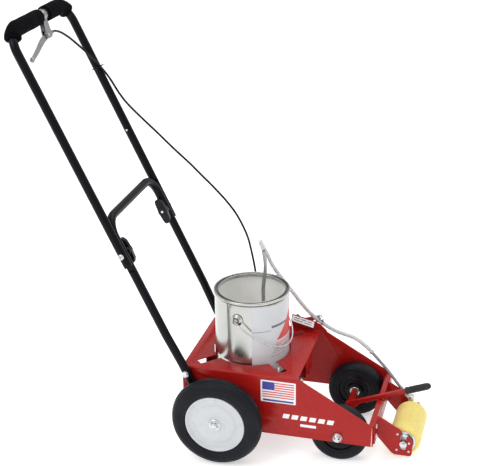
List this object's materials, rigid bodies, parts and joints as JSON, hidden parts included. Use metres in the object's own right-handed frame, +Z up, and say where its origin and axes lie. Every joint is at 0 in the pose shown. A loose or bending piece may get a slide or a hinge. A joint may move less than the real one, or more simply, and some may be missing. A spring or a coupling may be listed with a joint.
{
  "type": "line striping machine",
  "caption": "Walk-behind line striping machine with a folded deck, rear and front wheels, paint can, hose and pinch valve, folding tube handle and paint roller.",
  "frame": {"origin": "on the ground plane, under the middle of the machine's bounding box", "axes": "+X the way the machine is pushed, towards the roller; +Y its left side; +Z up"},
  "size_m": [0.8542, 0.3816, 0.9626],
  "materials": {
    "red": "gloss powder coat",
    "black_tube": "satin black paint",
    "foam": "matt closed-cell foam",
    "tyre": "matt moulded rubber",
    "rubber": "dipped rubber",
    "zinc": "bright zinc plate",
    "tin": "bright tinplate",
    "white": "gloss white enamel",
    "plastic": "satin moulding",
    "aluminium": "satin",
    "vinyl": "clear flexible hose",
    "nap": "short woven nap"
  },
  "bodies": {
    "chassis": {"chassis": "red", "front_plate": "red", "can_cradle": "red", "rear_axle": "zinc", "front_axle": "zinc", "front_axle_nut_left": "zinc", "front_axle_nut_right": "zinc", "rear_hub_cap_left": "zinc", "rear_hub_cap_right": "zinc", "roller_bracket_left": "red", "roller_bracket_right": "red", "bracket_bolt_left": "zinc", "bracket_bolt_right": "zinc", "lower_handle": "black_tube", "handle_bolt_left": "zinc", "handle_bolt_right": "zinc", "handle_lower_bolt_left": "zinc", "handle_lower_bolt_right": "zinc", "knob_bolt_left": "zinc", "knob_bolt_right": "zinc", "valve_bracket": "red", "cable_stop": "zinc", "supply_hose": "vinyl", "control_cable": "plastic"},
    "rear_wheel_left": {"rear_tyre_left": "tyre", "rear_wheel_left": "white"},
    "rear_wheel_right": {"rear_tyre_right": "tyre", "rear_wheel_right": "white"},
    "front_wheel_left": {"front_tyre_left": "tyre", "front_hub_left": "plastic", "front_bush_left": "zinc"},
    "front_wheel_right": {"front_tyre_right": "tyre", "front_hub_right": "plastic", "front_bush_right": "zinc"},
    "front_lever": {"lever_arm": "red", "lever_grip": "rubber"},
    "roller_carriage": {"roller_axle": "zinc", "feed_fitting": "zinc", "feed_tube": "aluminium"},
    "roller": {"roller_core": "plastic", "roller_nap": "nap", "roller_cap_left": "zinc", "roller_cap_right": "zinc"},
    "can": {"paint_can": "tin", "can_ear_left": "tin", "can_ear_right": "tin", "siphon_tube": "aluminium"},
    "bail": {"can_bail": "zinc"},
    "push_handle": {"upper_handle": "black_tube", "grip_left": "foam", "grip_right": "foam", "lever_mount": "aluminium", "lever_pin": "zinc"},
    "wing_knob_left": {"wing_knob_left": "plastic"},
    "wing_knob_right": {"wing_knob_right": "plastic"},
    "hand_lever": {"hand_lever": "aluminium"},
    "pinch_arm": {"pinch_arm": "zinc"}
  },
  "joints": [
    {"name": "rear_wheel_left_spin", "type": "hinge", "parent": "chassis", "child": "rear_wheel_left", "pos_m": [-0.01454, 0, 0.1016], "axis": [0, 1, 0], "continuous": true},
    {"name": "rear_wheel_right_spin", "type": "hinge", "parent": "chassis", "child": "rear_wheel_right", "pos_m": [-0.01454, 0, 0.1016], "axis": [0, 1, 0], "continuous": true},
    {"name": "front_wheel_left_spin", "type": "hinge", "parent": "chassis", "child": "front_wheel_left", "pos_m": [0.24241, 0, 0.06352], "axis": [0, 1, 0], "continuous": true},
    {"name": "front_wheel_right_spin", "type": "hinge", "parent": "chassis", "child": "front_wheel_right", "pos_m": [0.24241, 0, 0.06352], "axis": [0, 1, 0], "continuous": true},
    {"name": "front_lever_hinge", "type": "hinge", "parent": "chassis", "child": "front_lever", "pos_m": [0.24241, 0, 0.06352], "axis": [0, -1, 0], "range_deg": [0, 85]},
    {"name": "roller_float", "type": "slide", "parent": "chassis", "child": "roller_carriage", "axis": [0.0376, 0, 0.9993], "range_m": [-0.006, 0.012], "deforming": ["supply_hose"]},
    {"name": "roller_spin", "type": "hinge", "parent": "roller_carriage", "child": "roller", "pos_m": [0.37813, 0, 0.035], "axis": [0, 1, 0], "continuous": true},
    {"name": "can_lift", "type": "slide", "parent": "chassis", "child": "can", "axis": [0.0376, 0, 0.9993], "range_m": [0, 0.05], "deforming": ["supply_hose"]},
    {"name": "bail_hinge", "type": "hinge", "parent": "can", "child": "bail", "pos_m": [0.03053, 0, 0.30745], "axis": [-0.1391, -0.9903, 0.0052], "range_deg": [0, 35]},
    {"name": "handle_fold", "type": "hinge", "parent": "chassis", "child": "push_handle", "pos_m": [-0.20557, 0, 0.47156], "axis": [0, 1, 0], "range_deg": [0, 115], "deforming": ["control_cable"]},
    {"name": "wing_knob_left_turn", "type": "hinge", "parent": "chassis", "child": "wing_knob_left", "pos_m": [-0.20557, 0.118, 0.47156], "axis": [0, -1, 0], "continuous": true},
    {"name": "wing_knob_right_turn", "type": "hinge", "parent": "chassis", "child": "wing_knob_right", "pos_m": [-0.20557, -0.118, 0.47156], "axis": [0, 1, 0], "continuous": true},
    {"name": "hand_lever_squeeze", "type": "hinge", "parent": "push_handle", "child": "hand_lever", "pos_m": [-0.39249, -0.001, 0.90605], "axis": [-0.9186, 0, -0.3952], "range_deg": [0, 22], "stiffness_Nm_per_rad": 0.5, "springref_deg": -11.46},
    {"name": "pinch_arm_hinge", "type": "hinge", "parent": "chassis", "child": "pinch_arm", "pos_m": [0.11367, 0.1303, 0.21126], "axis": [0, -1, 0], "range_deg": [0, 8]}
  ],
  "couplings": [
    {"joint": "pinch_arm_hinge", "follows": "hand_lever_squeeze", "ratio": 0.36}
  ]
}
